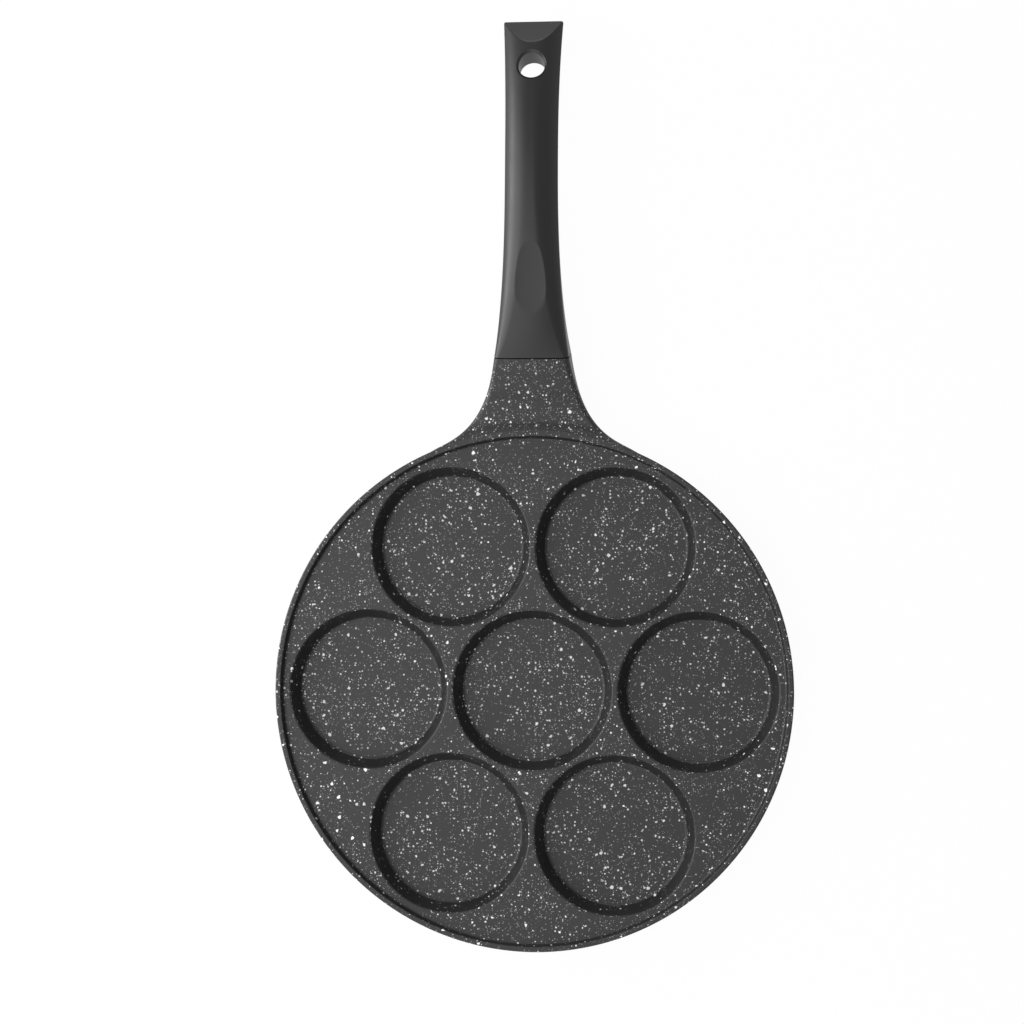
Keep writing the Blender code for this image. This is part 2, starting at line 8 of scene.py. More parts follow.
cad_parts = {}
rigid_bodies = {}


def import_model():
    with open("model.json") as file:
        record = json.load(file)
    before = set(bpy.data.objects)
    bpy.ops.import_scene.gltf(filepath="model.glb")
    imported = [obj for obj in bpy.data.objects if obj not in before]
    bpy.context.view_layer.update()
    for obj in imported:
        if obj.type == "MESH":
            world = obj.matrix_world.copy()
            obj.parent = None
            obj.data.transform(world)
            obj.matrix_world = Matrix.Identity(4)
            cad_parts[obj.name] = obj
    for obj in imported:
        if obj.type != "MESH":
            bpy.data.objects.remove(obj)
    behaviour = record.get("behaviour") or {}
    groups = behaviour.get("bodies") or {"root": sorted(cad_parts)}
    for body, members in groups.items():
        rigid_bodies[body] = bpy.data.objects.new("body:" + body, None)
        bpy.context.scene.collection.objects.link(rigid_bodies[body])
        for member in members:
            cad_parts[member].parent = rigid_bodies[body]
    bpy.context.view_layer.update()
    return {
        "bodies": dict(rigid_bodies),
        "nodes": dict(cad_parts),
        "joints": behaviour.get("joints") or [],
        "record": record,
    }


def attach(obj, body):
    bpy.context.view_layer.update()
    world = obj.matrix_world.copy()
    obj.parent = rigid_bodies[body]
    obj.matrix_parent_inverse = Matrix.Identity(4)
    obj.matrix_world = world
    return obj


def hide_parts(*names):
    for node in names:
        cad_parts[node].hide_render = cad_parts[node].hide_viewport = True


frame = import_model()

# The casting is a round plate with a raised rim, seven wells and a flared neck, all die-cast in one
# piece of aluminium. It is sprayed with a dark non-stick coating that is flecked like stone, and
# the foot of each well is then turned flat, down to the bare metal.
PAN_RADIUS = 0.130
PLATE_THICKNESS = 0.0035
RIM_HEIGHT = 0.0030
RIM_LAND = 0.0027
RIM_INNER_RUN = 0.0012
RIM_EDGE_RADIUS = 0.0008
RIM_FILLET = 0.0005
SKIRT_DRAFT = 0.0010

WELLS_AROUND = 6
WELL_PITCH = 0.0828
MOUTH_RADIUS = 0.0400
FLOOR_RADIUS = 0.0358
WELL_DEPTH = 0.0095
LIP_RADIUS = 0.0012
FLOOR_FILLET = 0.0020
WELL_WALL = 0.0034
FLOOR_THICKNESS = 0.0040
HEEL_RADIUS = 0.0015
CUP_FILLET = 0.0020

DISC_RADIUS = 0.0290
DISC_THICKNESS = 0.0008
FIT_GAP = 0.0003

NECK_LENGTH = 0.0375
NECK_ROOT_ANGLE = math.radians(23.6)
NECK_ROOT_SPLAY = math.radians(8.3)
NECK_ROOT_PULL = 0.0120
NECK_WAIST_SPLAY = math.radians(8.8)
NECK_WAIST_PULL = 0.0400
NECK_BURIED_ANGLE = math.radians(5.0)
NECK_BITE = 0.0022
NECK_LEDGE = 0.0005
NECK_DIP = 0.0016
NECK_DIP_LENGTH = 0.0050
NECK_HOLLOW_LENGTH = 0.0095
NECK_HOLLOW_ANGLE = math.radians(5.0)
NECK_TOP_ANGLE = math.radians(17.0)
NECK_STRAIGHT_SHARE = 0.5
NECK_FLAT_SHARE = 0.1

SEAM_HEIGHT = 0.0160
HANDLE_REACH = 0.1665
HANDLE_RISE = math.radians(15.0)
HANDLE_DROOP = math.radians(13.5)
HANDLE_SEAM_WIDTH = 0.0375
HANDLE_SEAM_THICKNESS = 0.0190
HANDLE_CROWN = 0.0010
HANDLE_CORNER = 0.0026

TANG_LENGTH = 0.0420
TANG_WIDTH = 0.0220
TANG_THICKNESS = 0.0060
TANG_LIFT = 0.0010
TANG_BURIED = 0.0060
TANG_CORNER = 0.0012
SCREW_FROM_SEAM = 0.0270
SCREW_HOLE_RADIUS = 0.0028

PLATE_SIDES = 288

# How far a cutter reaches past the face it cuts, how far two faces are kept out of one plane, and
# how near two points are to count as one
OVERRUN = 0.0020
SKIM = 0.000003
MERGE = 0.000004

PLATE_TOP = FLOOR_THICKNESS + WELL_DEPTH
PLATE_BOTTOM = PLATE_TOP - PLATE_THICKNESS
RIM_TOP = PLATE_TOP + RIM_HEIGHT
SEAM_Y = PAN_RADIUS + NECK_LENGTH
HANDLE_RADIUS = HANDLE_REACH / (math.sin(HANDLE_RISE) + math.sin(HANDLE_DROOP))
HANDLE_LENGTH = HANDLE_RADIUS * (HANDLE_RISE + HANDLE_DROOP)


def closed_mesh(name, shape):
    """A mesh from a bmesh, with its doubles merged and its faces pointing outwards."""
    bmesh.ops.remove_doubles(shape, verts=shape.verts, dist=MERGE)
    bmesh.ops.recalc_face_normals(shape, faces=shape.faces)
    mesh = bpy.data.meshes.new(name)
    shape.to_mesh(mesh)
    shape.free()
    return mesh


def rounded(corners, steps=6):
    """The points of a profile through (across, up, radius) corners, each rounded by its radius."""
    path = [Vector(corners[0][:2])]
    for before, here, after in zip(corners, corners[1:], corners[2:]):
        point, radius = Vector(here[:2]), here[2]
        if radius == 0.0:
            path.append(point)
            continue
        back = (Vector(before[:2]) - point).normalized()
        on = (Vector(after[:2]) - point).normalized()
        half = back.angle(on) / 2
        centre = point + (back + on).normalized() * radius / math.sin(half)
        start = point + back * radius / math.tan(half) - centre
        end = point + on * radius / math.tan(half) - centre
        for step in range(steps + 1):
            path.append(centre + radius * start.slerp(end, step / steps).normalized())
    path.append(Vector(corners[-1][:2]))
    return path


def turned(name, profile, steps):
    """A solid turned about Z from (radius, height) points that start and end on the axis."""
    shape = bmesh.new()
    points = [shape.verts.new((radius, 0.0, height)) for radius, height in profile]
    edges = [shape.edges.new(pair) for pair in zip(points, points[1:])]
    bmesh.ops.spin(
        shape,
        geom=points + edges,
        axis=(0, 0, 1),
        cent=(0, 0, 0),
        angle=math.tau,
        steps=steps,
        use_merge=True,
    )
    return closed_mesh(name, shape)


def lofted(name, rings):
    """A closed solid whose skin joins rings of like points, with a flat cap on each end."""
    shape = bmesh.new()
    loops = [[shape.verts.new(point) for point in ring] for ring in rings]
    for near, far in zip(loops, loops[1:]):
        for start in range(len(near)):
            end = (start + 1) % len(near)
            shape.faces.new((near[start], near[end], far[end], far[start]))
    for cap in (loops[0], loops[-1]):
        shape.faces.new(cap)
    return closed_mesh(name, shape)


def rounded_bar(name, width, length, height, corner):
    """A bar about the origin, its edges rounded."""
    shape = bmesh.new()
    bmesh.ops.create_cube(shape, size=1.0, matrix=Matrix.Diagonal((width, length, height, 1.0)))
    bmesh.ops.bevel(
        shape, geom=shape.edges[:], offset=corner, segments=4, profile=0.5, affect="EDGES"
    )
    return closed_mesh(name, shape)


def placed(name, data):
    """Puts an object with this data into the scene."""
    made = bpy.data.objects.new(name, data)
    bpy.context.scene.collection.objects.link(made)
    return made


def settled(blank, name):
    """The plain mesh of an object with its modifiers applied. The object itself goes."""
    bpy.context.view_layer.update()
    seen = blank.evaluated_get(bpy.context.evaluated_depsgraph_get())
    result = bpy.data.meshes.new_from_object(seen)
    result.name = name
    bpy.data.objects.remove(blank, do_unlink=True)
    return result


def worked(name, mesh, steps):
    """Joins and cuts a mesh with (operation, mesh, place) tools, and gives the finished mesh."""
    blank = placed(name, mesh)
    tools = []
    for number, (operation, tool_mesh, place) in enumerate(steps):
        tool = placed(f"{name} tool {number}", tool_mesh)
        tool.matrix_world = place
        tools.append(tool)
        step = blank.modifiers.new(f"step {number}", "BOOLEAN")
        step.operation = operation
        step.solver = "MANIFOLD"
        step.object = tool
    result = settled(blank, name)
    for spent in tools:
        bpy.data.objects.remove(spent, do_unlink=True)
    return result


def even_normals(mesh, sharp_angle):
    """Smooth shading in which broad faces stay flat and only real edges are sharp."""
    mesh.shade_smooth()
    mesh.set_sharp_from_angle(angle=sharp_angle)
    blank = placed(mesh.name, mesh)
    weighted = blank.modifiers.new("weighted normals", "WEIGHTED_NORMAL")
    weighted.mode = "FACE_AREA"
    weighted.weight = 50
    weighted.keep_sharp = True
    return settled(blank, mesh.name)


def ease(share, power):
    """Falls from 1 at share 0 to 0 at share 1, the more steeply at first the higher the power."""
    return max(0.0, 1.0 - share) ** power


def corner_height(beyond, half_height, corner_up, edge_angle):
    """Height of a rounded corner at a share of its reach, where it ends in an edge at an angle."""
    low = math.sin(edge_angle)
    swept = math.sqrt(1 - (beyond * math.cos(edge_angle)) ** 2)
    return half_height - corner_up * (1 - swept) / (1 - low)


def section(size, corner, crown, edge_angle, corner_steps, flat_steps):
    """The (across, up) points round a crowned box with rounded corners, from its right side."""
    half_width, half_height = size
    corner_across, corner_up = corner
    flat = half_width - corner_across
    right = [(half_width, 0.0)]
    for step in range(corner_steps + 1):
        angle = edge_angle + (math.pi / 2 - edge_angle) * step / corner_steps
        beyond = min(math.cos(angle) / math.cos(edge_angle), 1.0)
        up = corner_height(beyond, half_height, corner_up, edge_angle)
        right.append((flat + corner_across * beyond, up))
    for step in range(1, flat_steps):
        right.append((flat * (1 - step / flat_steps), half_height))
    over = right + [(0.0, half_height)] + [(-across, up) for across, up in reversed(right)]
    under = [(-across, -up) for across, up in over[1:-1]]
    return [
        (across, up + crown * (1 - (across / half_width) ** 2) * up / half_height)
        for across, up in over + under
    ]


def well_places():
    """The middle of each well in plan: one in the middle of the pan, the others around it."""
    places = [Vector((0.0, 0.0, 0.0))]
    for step in range(WELLS_AROUND):
        angle = math.tau * step / WELLS_AROUND
        places.append(Vector((WELL_PITCH * math.cos(angle), WELL_PITCH * math.sin(angle), 0.0)))
    return places


def plate_mesh():
    inside = PAN_RADIUS - RIM_LAND
    profile = [
        (0.0, PLATE_TOP),
        (inside - RIM_INNER_RUN, PLATE_TOP, RIM_FILLET * 2),
        (inside, RIM_TOP, RIM_FILLET),
        (PAN_RADIUS, RIM_TOP, RIM_EDGE_RADIUS),
        (PAN_RADIUS - SKIRT_DRAFT, PLATE_BOTTOM, RIM_EDGE_RADIUS),
        (0.0, PLATE_BOTTOM),
    ]
    return turned("plate", rounded(profile), steps=PLATE_SIDES)


def cup_mesh():
    lean = (MOUTH_RADIUS - FLOOR_RADIUS) / WELL_DEPTH
    wall_run = WELL_WALL * math.hypot(1.0, lean)
    foot = FLOOR_RADIUS - FLOOR_THICKNESS * lean + wall_run
    joint = FLOOR_RADIUS + (PLATE_BOTTOM - FLOOR_THICKNESS) * lean + wall_run
    inside_plate = PLATE_BOTTOM + PLATE_THICKNESS / 3
    brim = joint + CUP_FILLET * 2
    profile = [
        (0.0, inside_plate),
        (brim, inside_plate, 0.0),
        (brim, PLATE_BOTTOM + SKIM, 0.0),
        (joint, PLATE_BOTTOM + SKIM, CUP_FILLET),
        (foot, 0.0, HEEL_RADIUS),
        (0.0, 0.0),
    ]
    return turned("cup", rounded(profile), steps=120)


def hollow_mesh():
    skim = PLATE_TOP + SKIM
    brim = MOUTH_RADIUS + LIP_RADIUS
    profile = [
        (0.0, skim + OVERRUN),
        (brim, skim + OVERRUN, 0.0),
        (brim, skim, 0.0),
        (MOUTH_RADIUS, skim, LIP_RADIUS),
        (FLOOR_RADIUS, FLOOR_THICKNESS, FLOOR_FILLET),
        (0.0, FLOOR_THICKNESS),
    ]
    return turned("hollow", rounded(profile, steps=8), steps=144)


def disc_seat_mesh():
    radius = DISC_RADIUS + FIT_GAP
    top = DISC_THICKNESS + FIT_GAP
    profile = [(0.0, top), (radius, top), (radius, -OVERRUN), (0.0, -OVERRUN)]
    return turned("disc seat", profile, steps=96)


def flare_point(share):
    """The edge of the neck in plan, from the seam (share 0) to the rim (share 1)."""
    seam = Vector((HANDLE_SEAM_WIDTH / 2, SEAM_Y))
    root = PAN_RADIUS * Vector((math.sin(NECK_ROOT_ANGLE), math.cos(NECK_ROOT_ANGLE)))
    waist_pull = seam + NECK_WAIST_PULL * Vector(
        (math.sin(NECK_WAIST_SPLAY), -math.cos(NECK_WAIST_SPLAY))
    )
    along_rim = NECK_ROOT_ANGLE + NECK_ROOT_SPLAY
    root_pull = root + NECK_ROOT_PULL * Vector((-math.cos(along_rim), math.sin(along_rim)))
    left = 1.0 - share
    ends = seam * left**3 + root * share**3
    return ends + waist_pull * 3 * left**2 * share + root_pull * 3 * left * share**2


def neck_top(out):
    """Height of the neck's upper face at a distance beyond the pan's edge."""
    rim = RIM_TOP - SKIM
    seam_top = SEAM_HEIGHT + HANDLE_SEAM_THICKNESS / 2 * math.cos(HANDLE_RISE)
    low = rim - NECK_DIP
    dip_end = NECK_LEDGE + NECK_DIP_LENGTH
    if out < dip_end:
        return low + NECK_DIP * ease(max(out - NECK_LEDGE, 0.0) / NECK_DIP_LENGTH, 2.0)
    slope = math.tan(NECK_HOLLOW_ANGLE)
    hollow = low + slope * (min(out, NECK_LENGTH) - dip_end)
    rise = seam_top - low - slope * (NECK_LENGTH - dip_end)
    run = NECK_LENGTH - dip_end - NECK_HOLLOW_LENGTH
    share = min(max(1.0 - (NECK_LENGTH - out) / run, 0.0), 1.0)
    climb = rise * share * share * (3 - 2 * share)
    return hollow + climb - run * (math.tan(NECK_TOP_ANGLE) - slope) * share * share * (1 - share)


def neck_bottom(out):
    """Height of the neck's lower face at a distance beyond the pan's edge."""
    root = PLATE_BOTTOM + SKIM * 2
    seam_bottom = SEAM_HEIGHT - HANDLE_SEAM_THICKNESS / 2 * math.cos(HANDLE_RISE)
    share = min(max(out / NECK_LENGTH, 0.0), 1.0)
    return root + (seam_bottom - root) * share * share * (3 - 2 * share)


def neck_ring(half_width, station, share):
    """One cross-section of the neck, square to the handle at the seam and upright at the rim."""
    out = station - PAN_RADIUS
    half_height = (neck_top(out) - neck_bottom(out)) / 2
    corner_up = min(HANDLE_CORNER, half_height * (1.0 - NECK_FLAT_SHARE))
    crown = HANDLE_CROWN * ease(share, 2.0)
    bent = min(1.0, share / NECK_STRAIGHT_SHARE)
    tilt = HANDLE_RISE * (1.0 - bent)
    ring = []
    size = half_width, half_height
    corner = HANDLE_CORNER, corner_up
    for across, up in section(
        size, corner, crown, edge_angle=0.0, corner_steps=10, flat_steps=20
    ):
        bow = math.hypot(across, station) - station
        round_out = out + bow * bent
        top, bottom = neck_top(round_out), neck_bottom(round_out)
        lift = (top - bottom) / 2 * up / half_height
        ring.append((across, station - lift * math.tan(tilt), (top + bottom) / 2 + lift))
    return ring


def neck_mesh():
    stations = 90
    rings = []
    for step in range(stations + 1):
        share = step / stations
        rings.append(neck_ring(*flare_point(share), share))
    buried_angle = NECK_ROOT_ANGLE + NECK_BURIED_ANGLE
    buried = (PAN_RADIUS - RIM_LAND / 2) * Vector((math.sin(buried_angle), math.cos(buried_angle)))
    rings.append(neck_ring(*buried, 1.0))
    return lofted("neck", rings)


def tang_frame(distance=0.0):
    """The tang's middle at a distance from the seam, along the chord of the handle's arc."""
    chord = HANDLE_RISE - TANG_LENGTH / HANDLE_RADIUS / 2
    seam = Matrix.Translation((0.0, SEAM_Y, SEAM_HEIGHT)) @ Matrix.Rotation(chord, 4, "X")
    return seam @ Matrix.Translation((0.0, distance, TANG_LIFT))


def casting_mesh():
    inside = PAN_RADIUS - NECK_BITE
    core_profile = [
        (0.0, RIM_TOP + OVERRUN),
        (inside, RIM_TOP + OVERRUN),
        (inside, -OVERRUN),
        (0.0, -OVERRUN),
    ]
    tang = rounded_bar("tang", TANG_WIDTH, TANG_BURIED + TANG_LENGTH, TANG_THICKNESS, TANG_CORNER)
    tapped_profile = [
        (0.0, TANG_THICKNESS),
        (SCREW_HOLE_RADIUS, TANG_THICKNESS),
        (SCREW_HOLE_RADIUS, -TANG_THICKNESS),
        (0.0, -TANG_THICKNESS),
    ]
    core = turned("core", core_profile, steps=PLATE_SIDES)
    tapped = turned("tapped hole", tapped_profile, steps=48)
    neck = worked(
        "neck",
        neck_mesh(),
        [
            ("DIFFERENCE", core, Matrix()),
            ("UNION", tang, tang_frame((TANG_LENGTH - TANG_BURIED) / 2)),
            ("DIFFERENCE", tapped, tang_frame(SCREW_FROM_SEAM)),
        ],
    )
    steps = [("UNION", neck, Matrix())]
    for operation, tool in (
        ("UNION", cup_mesh()),
        ("DIFFERENCE", hollow_mesh()),
        ("DIFFERENCE", disc_seat_mesh()),
    ):
        steps += [(operation, tool, Matrix.Translation(place)) for place in well_places()]
    return worked("casting", plate_mesh(), steps)


def feed(tree, target, value):
    """Links a socket to an input, or sets the input to a value. None leaves it as it is."""
    if isinstance(value, bpy.types.NodeSocket):
        tree.links.new(value, target)
    elif value is not None:
        target.default_value = value


def set_inputs(tree, node, **inputs):
    """Feeds a node's inputs by name, with underscores for spaces."""
    for name, value in inputs.items():
        feed(tree, node.inputs[name.replace("_", " ")], value)
    return node


def add_node(tree, kind, **inputs):
    return set_inputs(tree, tree.nodes.new(kind), **inputs)


def calc(tree, operation, first, second=None):
    """The outcome of a Math node."""
    made = tree.nodes.new("ShaderNodeMath")
    made.operation = operation
    feed(tree, made.inputs[0], first)
    feed(tree, made.inputs[1], second)
    return made.outputs[0]


def vector_calc(tree, operation, first, second=None):
    """The outcome of a Vector Math node."""
    made = tree.nodes.new("ShaderNodeVectorMath")
    made.operation = operation
    feed(tree, made.inputs[0], first)
    feed(tree, made.inputs["Scale" if operation == "SCALE" else 1], second)
    return made.outputs["Value" if operation == "LENGTH" else "Vector"]


def noise(tree, place, scale, detail, roughness=0.5):
    made = add_node(
        tree, "ShaderNodeTexNoise", Vector=place, Scale=scale, Detail=detail, Roughness=roughness
    )
    return made.outputs["Fac"]


def mapped(tree, value, found, wanted):
    """A value moved from the range it is found in to the range that is wanted."""
    made = add_node(tree, "ShaderNodeMapRange", Value=value, From_Min=found[0], From_Max=found[1])
    set_inputs(tree, made, To_Min=wanted[0], To_Max=wanted[1])
    return made.outputs[0]


def mixed_color(tree, share, first, second):
    """A colour between two, each a socket or (red, green, blue)."""
    made = tree.nodes.new("ShaderNodeMix")
    made.data_type = "RGBA"
    # The sockets for colours are inputs 6 and 7 and output 2
    feed(tree, made.inputs[0], share)
    for place, color in ((6, first), (7, second)):
        feed(tree, made.inputs[place], (*color, 1.0) if isinstance(color, tuple) else color)
    return made.outputs[2]


def relief(tree, height, strength, distance):
    """The normal of a surface with a fine relief."""
    made = add_node(tree, "ShaderNodeBump", Height=height, Strength=strength, Distance=distance)
    return made.outputs[0]


def new_material(name):
    """A material, its node tree and its main shader."""
    made = bpy.data.materials.new(name)
    made.use_nodes = True
    return made, made.node_tree, made.node_tree.nodes["Principled BSDF"]


LEAST_FLECK = 0.35
FLECK_SIZE_POWER = 1.6
PALEST_FLECK = 0.6


def flecks_group():
    """Irregular flecks scattered through a surface, of many sizes up to a radius."""
    group = bpy.data.node_groups.new("Flecks", "ShaderNodeTree")
    face = group.interface
    face.new_socket("Vector", in_out="INPUT", socket_type="NodeSocketVector")
    for name, value in (
        ("Cell", 0.003),
        ("Share", 0.5),
        ("Radius", 0.3),
        ("Softness", 0.05),
        ("Ragged", 0.15),
    ):
        socket = face.new_socket(name, in_out="INPUT", socket_type="NodeSocketFloat")
        socket.default_value = value
    face.new_socket("Mask", in_out="OUTPUT", socket_type="NodeSocketFloat")
    given = group.nodes.new("NodeGroupInput").outputs

    # Cells of the given size, with borders that a ripple makes ragged
    scaled = vector_calc(group, "SCALE", given["Vector"], calc(group, "DIVIDE", 1.0, given["Cell"]))
    ripple = add_node(
        group, "ShaderNodeTexNoise", Vector=scaled, Scale=2.2, Detail=3.0, Roughness=0.6
    )
    centred = vector_calc(group, "SUBTRACT", ripple.outputs["Color"], (0.5, 0.5, 0.5))
    pushed = vector_calc(group, "SCALE", centred, given["Ragged"])
    bent = vector_calc(group, "ADD", scaled, pushed)
    cells = add_node(group, "ShaderNodeTexVoronoi", Vector=bent, Scale=1.0, Randomness=1.0)

    # Chance says which cells hold a fleck, how large it is and how pale
    dice = group.nodes.new("ShaderNodeSeparateColor")
    group.links.new(cells.outputs["Color"], dice.inputs[0])
    present = calc(group, "LESS_THAN", dice.outputs["Red"], given["Share"])
    size = calc(group, "POWER", dice.outputs["Green"], FLECK_SIZE_POWER)
    size = calc(group, "MULTIPLY", size, 1.0 - LEAST_FLECK)
    size = calc(group, "ADD", size, LEAST_FLECK)
    reach = calc(group, "MULTIPLY", size, given["Radius"])
    inside = calc(group, "SUBTRACT", reach, cells.outputs["Distance"])
    edge = calc(group, "DIVIDE", inside, given["Softness"])
    clamped = add_node(group, "ShaderNodeClamp", Value=edge)
    shown = calc(group, "MULTIPLY", clamped.outputs[0], present)
    paleness = calc(group, "MULTIPLY", dice.outputs["Blue"], 1.0 - PALEST_FLECK)
    paleness = calc(group, "ADD", paleness, PALEST_FLECK)
    add_node(group, "NodeGroupOutput", Mask=calc(group, "MULTIPLY", shown, paleness))
    return group


FLECKS = flecks_group()
COATING_DARKEST = (0.006, 0.006, 0.0061)
COATING_LIGHTEST = (0.011, 0.011, 0.0111)
COATING_IOR = 1.38
FLECK_WHITE = (0.92, 0.92, 0.91)
FLECK_THICKNESS = 0.6


def coating_material():
    """Dark grey non-stick coating with white flecks of three sizes, thicker in places."""
    made, tree, shader = new_material("stone effect coating")
    place = tree.nodes.new("ShaderNodeTexCoord").outputs["Object"]

    # The spray falls in drifts, and less of it stays on steep walls
    drift = noise(tree, place, scale=62.0, detail=4.0, roughness=0.6)
    crowd = mapped(tree, drift, found=(0.34, 0.62), wanted=(0.20, 1.0))
    facing = add_node(
        tree,
        "ShaderNodeSeparateXYZ",
        Vector=tree.nodes.new("ShaderNodeNewGeometry").outputs["Normal"],
    )
    flatness = calc(tree, "ABSOLUTE", facing.outputs["Z"])
    stays = mapped(tree, flatness, found=(0.40, 0.80), wanted=(0.25, 1.0))
    density = calc(tree, "MULTIPLY", crowd, stays)

    # Three layers of flecks from coarse to fine, with fewer coarse ones up on the plate
    height = add_node(tree, "ShaderNodeSeparateXYZ", Vector=place).outputs["Z"]
    strongest = 0.0
    for cell, in_wells, on_plate, radius, softness, ragged, strength in (
        (0.0034, 0.85, 0.55, 0.265, 0.030, 0.60, 1.0),
        (0.0017, 1.00, 0.70, 0.330, 0.060, 0.55, 0.85),
        (0.0009, 1.00, 1.25, 0.400, 0.110, 0.40, 0.34),
    ):
        share = mapped(
            tree, height, found=(FLOOR_THICKNESS, PLATE_TOP), wanted=(in_wells, on_plate)
        )
        layer = tree.nodes.new("ShaderNodeGroup")
        layer.node_tree = FLECKS
        set_inputs(
            tree,
            layer,
            Vector=place,
            Cell=cell,
            Share=calc(tree, "MULTIPLY", density, share),
            Radius=radius,
            Softness=softness,
            Ragged=ragged,
        )
        weighed = calc(tree, "MULTIPLY", layer.outputs["Mask"], strength)
        strongest = calc(tree, "MAXIMUM", strongest, weighed)

    cloud = noise(tree, place, scale=900.0, detail=4.0, roughness=0.6)
    ground = mixed_color(tree, cloud, COATING_DARKEST, COATING_LIGHTEST)
    peel = noise(tree, place, scale=1400.0, detail=2.0)
    skin = calc(tree, "ADD", peel, calc(tree, "MULTIPLY", strongest, FLECK_THICKNESS))
    set_inputs(
        tree,
        shader,
        Base_Color=mixed_color(tree, strongest, ground, FLECK_WHITE),
        Roughness=mapped(tree, cloud, found=(0.3, 0.7), wanted=(0.42, 0.50)),
        Normal=relief(tree, skin, strength=0.5, distance=0.00002),
        IOR=COATING_IOR,
    )
    return made


def own_places(mesh):
    """Stores each point's place from the axis of its own well, for the turning marks."""
    marks = mesh.attributes.new("own_place", "FLOAT_VECTOR", "POINT")
    middles = well_places()
    for point in mesh.vertices:
        middle = min(middles, key=lambda place: (point.co.xy - place.xy).length)
        marks.data[point.index].vector = point.co - middle


def turning_group():
    """The fine rings that a lathe tool leaves round an axis."""
    group = bpy.data.node_groups.new("Turning marks", "ShaderNodeTree")
    face = group.interface
    pitch = face.new_socket("Pitch", in_out="INPUT", socket_type="NodeSocketFloat")
    pitch.default_value = 0.0005
    face.new_socket("Height", in_out="OUTPUT", socket_type="NodeSocketFloat")
    face.new_socket("Wear", in_out="OUTPUT", socket_type="NodeSocketFloat")
    given = group.nodes.new("NodeGroupInput").outputs
    place = group.nodes.new("ShaderNodeAttribute")
    place.attribute_name = "own_place"
    flat = vector_calc(group, "MULTIPLY", place.outputs["Vector"], (1.0, 1.0, 0.0))
    turns = calc(group, "DIVIDE", vector_calc(group, "LENGTH", flat), given["Pitch"])
    wave = calc(group, "SINE", calc(group, "MULTIPLY", turns, math.tau))
    wear = group.nodes.new("ShaderNodeTexNoise")
    wear.noise_dimensions = "1D"
    set_inputs(group, wear, W=turns, Scale=0.7, Detail=3.0)
    add_node(
        group,
        "NodeGroupOutput",
        Height=calc(group, "ADD", wave, wear.outputs["Fac"]),
        Wear=wear.outputs["Fac"],
    )
    return group


TURNING = turning_group()
# Painted shade in the grooves of the turning marks: a groove's colour is the metal's colour times
# this
GROOVE_PAINTED_SHADE = 0.62
WORN_ROUGHER = 0.14


def turned_metal(name, color, roughness, pitch):
    """Bare metal with turning marks, whose grooves are darkened with painted shade."""
    made, tree, shader = new_material(name)
    marks = tree.nodes.new("ShaderNodeGroup")
    marks.node_tree = TURNING
    set_inputs(tree, marks, Pitch=pitch)
    height, wear = marks.outputs["Height"], marks.outputs["Wear"]
    # Painted shade: the grooves get a darker colour than the ridges, standing in for the shade that
    # falls in them
    painted_groove_shade = tuple(GROOVE_PAINTED_SHADE * part for part in color)
    ridge = mapped(tree, height, found=(-0.6, 1.6), wanted=(0.0, 1.0))
    worn = roughness + WORN_ROUGHER
    set_inputs(
        tree,
        shader,
        Metallic=1.0,
        Base_Color=mixed_color(tree, ridge, painted_groove_shade, color),
        Roughness=mapped(tree, wear, found=(0.25, 0.75), wanted=(roughness, worn)),
        Normal=relief(tree, height, strength=0.35, distance=0.00001),
    )
    return made


def finished(name, mesh, slot, *nodes):
    """A finished piece, attached to the root body, that stands for CAD nodes and hides them. The
    slot is not used.
    """
    made = placed(name, mesh)
    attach(made, "root")
    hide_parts(*nodes)
    return made


casting = even_normals(casting_mesh(), sharp_angle=math.radians(32))
own_places(casting)
casting.materials.clear()
casting.materials.append(coating_material())
bare_aluminium = turned_metal(
    "turned aluminium", color=(0.74, 0.74, 0.75), roughness=0.24, pitch=0.0005
)
casting.materials.append(bare_aluminium)
seat_top = DISC_THICKNESS + FIT_GAP + SKIM
for face in casting.polygons:
    in_seat = face.center.z < seat_top and any(
        (face.center.xy - place.xy).length < DISC_RADIUS + FIT_GAP for place in well_places()
    )
    if in_seat or face.center.z < SKIM:
        face.material_index = casting.materials.find(bare_aluminium.name)
finished("pan_casting", casting, "stone_effect_coating", "pan_body")

# The handle is one hollow-socketed moulding of heat-resistant plastic with a satin skin. It slides
# over the tang of the casting. Its end is planed off, a tapered hole goes through it for hanging,
# and a shallow oval is sunk in its ridge for the thumb.
HANDLE_WAIST_WIDTH = 0.0263
HANDLE_END_WIDTH = 0.0298
HANDLE_WAIST_THICKNESS = 0.0150
HANDLE_END_THICKNESS = 0.0140
HANDLE_END_EDGE = 0.0006
WAIST_SHARE = 0.62
SEAM_EASE = 3.0
END_EASE = 2.2
ROUNDEST = 0.9
ROUND_FROM_SHARE = 0.6
ROUNDEST_EDGE_ANGLE = math.radians(35)
MOST_CROWN = 0.0013
CROWNED_FROM_SHARE = 0.12
PLANED_LENGTH = 0.0140
PLANED_DROP = 0.0071
HANG_HOLE_RADIUS = 0.0065
HANG_HOLE_MOUTH_RADIUS = 0.0079
HANG_HOLE_FROM_END = 0.0256
THUMB_REST_FROM_SEAM = 0.0423
THUMB_REST_DEPTH = 0.0010
THUMB_REST_DISH_ALONG = 0.228
THUMB_REST_DISH_ACROSS = 0.120
SEAM_GAP = 0.0005
SEAT_WALL = 0.0026
RECESS_RADIUS = 0.0057
THUMB_REST_EDGE = 0.00004
PLANED_EDGE = 0.00020


